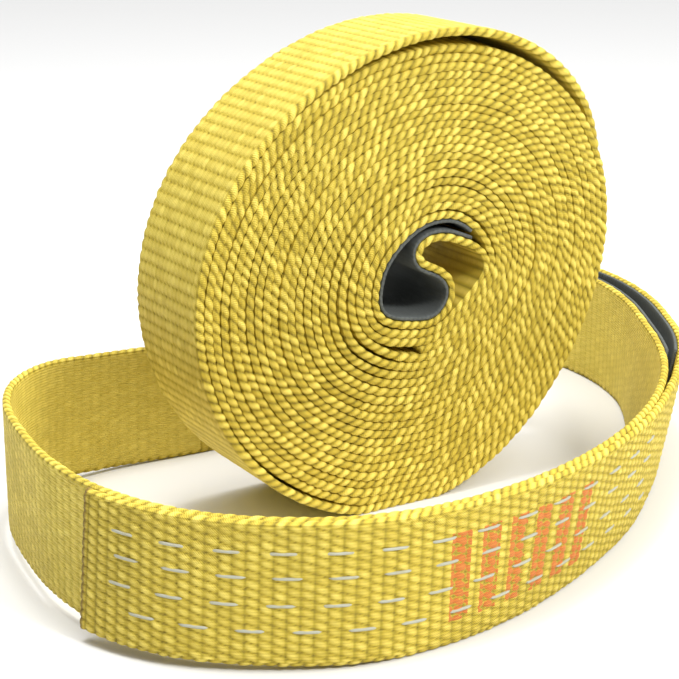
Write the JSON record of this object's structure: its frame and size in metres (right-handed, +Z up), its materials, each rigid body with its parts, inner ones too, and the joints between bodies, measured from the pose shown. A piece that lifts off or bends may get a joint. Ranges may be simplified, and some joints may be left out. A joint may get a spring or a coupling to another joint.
{
  "type": "tow strap",
  "caption": "Flat webbing tow strap with a lined, sewn eye at each end, wound into a roll that stands on its tread inside a ring of its own free end.",
  "frame": {"origin": "on the floor, on the flat that the roll rests on, half way across the webbing", "axes": "+Z up from the floor; the roll's axis lies along Y and its front face looks along -Y; +X is to the right seen from the front"},
  "size_m": [0.3341, 0.2594, 0.1855],
  "materials": {
    "webbing": "woven yellow polyester with a slight sheen",
    "wear_pad": "matt black woven nylon"
  },
  "bodies": {
    "root": {"webbing": "webbing", "inner_eye_pad": "wear_pad", "outer_eye_pad": "wear_pad"}
  },
  "joints": []
}
